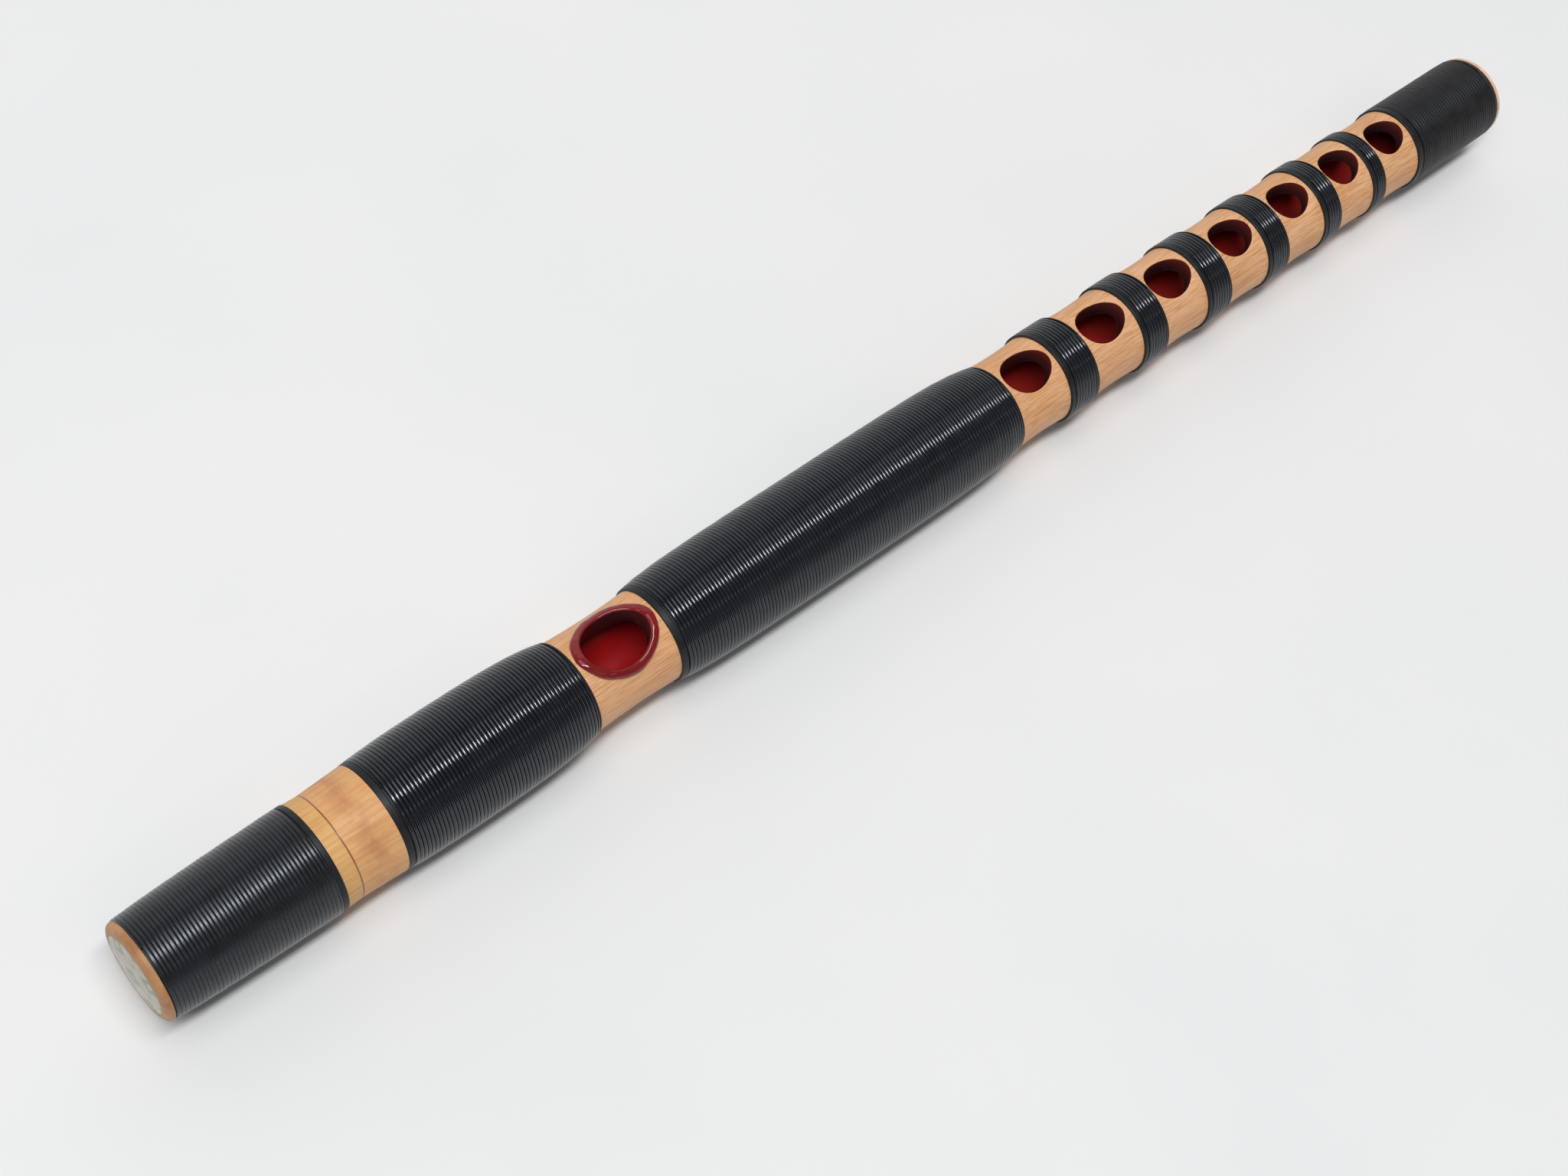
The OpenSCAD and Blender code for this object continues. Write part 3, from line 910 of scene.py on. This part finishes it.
def dress_inner_nodes():
    """Better finishes for the CAD nodes that stay as they are."""
    wax = plain_finish("beeswax", (206, 160, 74), (226, 186, 106), (300, 300, 300), 0.05, 0.4)
    lead = plain_finish("dull_lead", (88, 90, 94), (124, 126, 130), (400, 400, 400), 0.05, 0.5)
    paper = plain_finish("rolled_paper", (214, 204, 180), (234, 226, 206), (200, 900, 900), 0.04, 0.7)
    wood = plain_finish("plug_wood", (150, 98, 52), (184, 132, 80), (1200, 300, 300), 0.05, 0.5)
    # The bore lining takes the bore lacquer with its painted shade.
    for node, material in (
        ("bore_lining", BORE_RED), ("wax_stopper", wax), ("lead_weight", lead),
        ("weight_packing", paper), ("head_plug", wood),
    ):
        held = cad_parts[node].data.materials
        held.clear()
        held.append(material)


# Stage

# The floor shows shadows out to SHADOW_R, fades to its far tone at FADE_R and meets the wall at STAGE_R.
SHADOW_R = 0.5
FADE_R = 1.8
STAGE_R = 6.0
WALL_HEIGHT = 1.2


def stage_piece(name, rows, material):
    """A round piece of the stage from rows of (radius, height)."""
    shape = Shape()
    rings = []
    for radius, height in rows:
        ring = []
        for angle in ring_angles(AROUND):
            ring.append(Vector((radius * math.cos(angle), radius * math.sin(angle), height)))
        rings.append(ring)
    shape.strip(rings, ring=True)
    shape.build(name, [material])


def show_even(finish, colour, share):
    """Shows the camera and mirror-like surfaces one even colour, by a share of the whole look.

    The share may vary over the surface.
    """
    rays = finish.add("ShaderNodeLightPath").outputs
    seen = finish.math("MAXIMUM", rays["Is Camera Ray"], rays["Is Glossy Ray"])
    seen = finish.math("MAXIMUM", seen, rays["Is Transmission Ray"])
    glow = finish.add("ShaderNodeEmission", Color=colour, Strength=1.0)
    mix = finish.add("ShaderNodeMixShader", Fac=finish.math("MULTIPLY", seen, share))
    finish.tree.links.new(finish.shader.outputs[0], mix.inputs[1])
    finish.tree.links.new(glow.outputs[0], mix.inputs[2])
    finish.tree.links.new(mix.outputs[0], finish.tree.nodes["Material Output"].inputs["Surface"])


def make_stage():
    """A pale cloth floor that takes the flute's shadow, and a low wall far off.

    The two meet in one pale tone.
    """
    far_tone = tint(222, 223, 224)
    floor = Finish("pale_cloth", Roughness=0.9, Specular_IOR_Level=0.1)
    cloud = floor.noise((9, 9, 9), 3)
    floor.colour(floor.ramp(cloud, (0.3, tint(226, 227, 227)), (0.7, tint(231, 231, 231))))
    away = floor.add("ShaderNodeVectorMath", Vector=floor.object_place)
    away.operation = "LENGTH"
    show_even(floor, far_tone, floor.mask(away.outputs["Value"], SHADOW_R, FADE_R))
    floor_rows = [(radius, 0.0) for radius in (0.0, SHADOW_R, FADE_R, STAGE_R)]
    stage_piece("floor", floor_rows, floor.material)
    pale = tint(226, 227, 228)
    wall = Finish("pale_wall", Roughness=0.9, Specular_IOR_Level=0.1, Base_Color=pale)
    show_even(wall, far_tone, 1.0)
    stage_piece("backdrop", [(STAGE_R, 0.0), (STAGE_R, WALL_HEIGHT)], wall.material)


def lamp(name, place_at, aim, size, power):
    """A soft rectangular lamp that the camera doesn't see."""
    data = bpy.data.lights.new(name, "AREA")
    data.shape = "RECTANGLE"
    data.size, data.size_y = size
    data.energy = power
    item = bpy.data.objects.new(name, data)
    item.location = place_at
    item.rotation_euler = (Vector(aim) - Vector(place_at)).to_track_quat("-Z", "Y").to_euler()
    item.visible_camera = False
    bpy.context.scene.collection.objects.link(item)


def light_scene():
    """Four lamps, and a dim room that is brightest above.

    The strip overhead gives the long highlight, and the glow beside it the soft upper edge of
    that highlight. A broad lamp stands behind, and a faint strip in front.
    """
    lamp("overhead_strip", (-1.2, -0.56, 3.9), (-1.2, 0.0, 0.0), (4.2, 0.48), 122.0)
    lamp("overhead_glow", (-1.2, 0.48, 3.9), (-1.2, 0.0, 0.0), (4.2, 1.6), 36.0)
    lamp("back_softbox", (1.8, 3.9, 2.7), (0.0, 0.0, 0.0), (7.8, 4.5), 60.0)
    lamp("front_strip", (0.0, -3.15, 3.6), (0.0, 0.0, 0.0), (3.6, 0.24), 4.5)
    world = bpy.data.worlds.new("soft_studio")
    bpy.context.scene.world = world
    world.use_nodes = True
    tree = world.node_tree
    place_node = tree.nodes.new("ShaderNodeTexCoord")
    parts = tree.nodes.new("ShaderNodeSeparateXYZ")
    tree.links.new(place_node.outputs["Generated"], parts.inputs[0])
    ramp = tree.nodes.new("ShaderNodeValToRGB")
    tree.links.new(parts.outputs["Z"], ramp.inputs["Fac"])
    ends = ramp.color_ramp.elements
    ends[0].position, ends[0].color = 0.0, (0.12, 0.12, 0.12, 1)
    ends[1].position, ends[1].color = 0.9, (0.22, 0.22, 0.23, 1)
    tree.links.new(ramp.outputs["Color"], tree.nodes["Background"].inputs["Color"])


def make_camera():
    """The photograph's view: above the head end, rolled so that the flute rises to the right."""
    at = Vector((-271.65, -142.61, 457.15)) * MM
    aim = Vector((-43.75, -7.78, 12.96)) * MM
    roll = math.radians(21.59)
    data = bpy.data.cameras.new("camera")
    data.sensor_width = 36
    data.lens = 55.6
    data.clip_start = 0.01
    camera = bpy.data.objects.new("camera", data)
    turn = (aim - at).to_track_quat("-Z", "Y").to_matrix() @ Matrix.Rotation(roll, 3, "Z")
    camera.location = at
    camera.rotation_euler = turn.to_euler()
    bpy.context.scene.collection.objects.link(camera)
    bpy.context.scene.camera = camera


make_camera()
make_body()
make_head()
make_inlay()
for number in range(1, FINGER_HOLES + 1):
    make_hole_lining(number)
make_mouth_rim()
make_winding("head_wrap", HEAD_THREAD, 1.0, PITCH, ties=(0.0, 1.5), relief=0.2 * MM, fullness=3.4)
make_winding("throat_wrap", THREAD, 5.0, PITCH, ties=(1.7, 0.6), relief=0.42 * MM, fullness=2.8)
make_winding("middle_wrap", THREAD, 9.0, PITCH, ties=(1.7, 0.6), relief=0.42 * MM, fullness=2.8)
for number in range(1, BANDS + 1):
    seed = 20.0 + 4 * number
    node = "band_%d" % number
    make_winding(node, THREAD, seed, BAND_PITCH, ties=(1.4, 0.4), relief=0.42 * MM, fullness=2.8)
make_winding("tail_wrap", TAIL_THREAD, 60.0, TAIL_PITCH, ties=(2.0, 0.3), relief=0.16 * MM, fullness=3.0)
make_brocade()
dress_inner_nodes()
make_stage()
light_scene()

bpy.context.scene.view_settings.view_transform = "Standard"
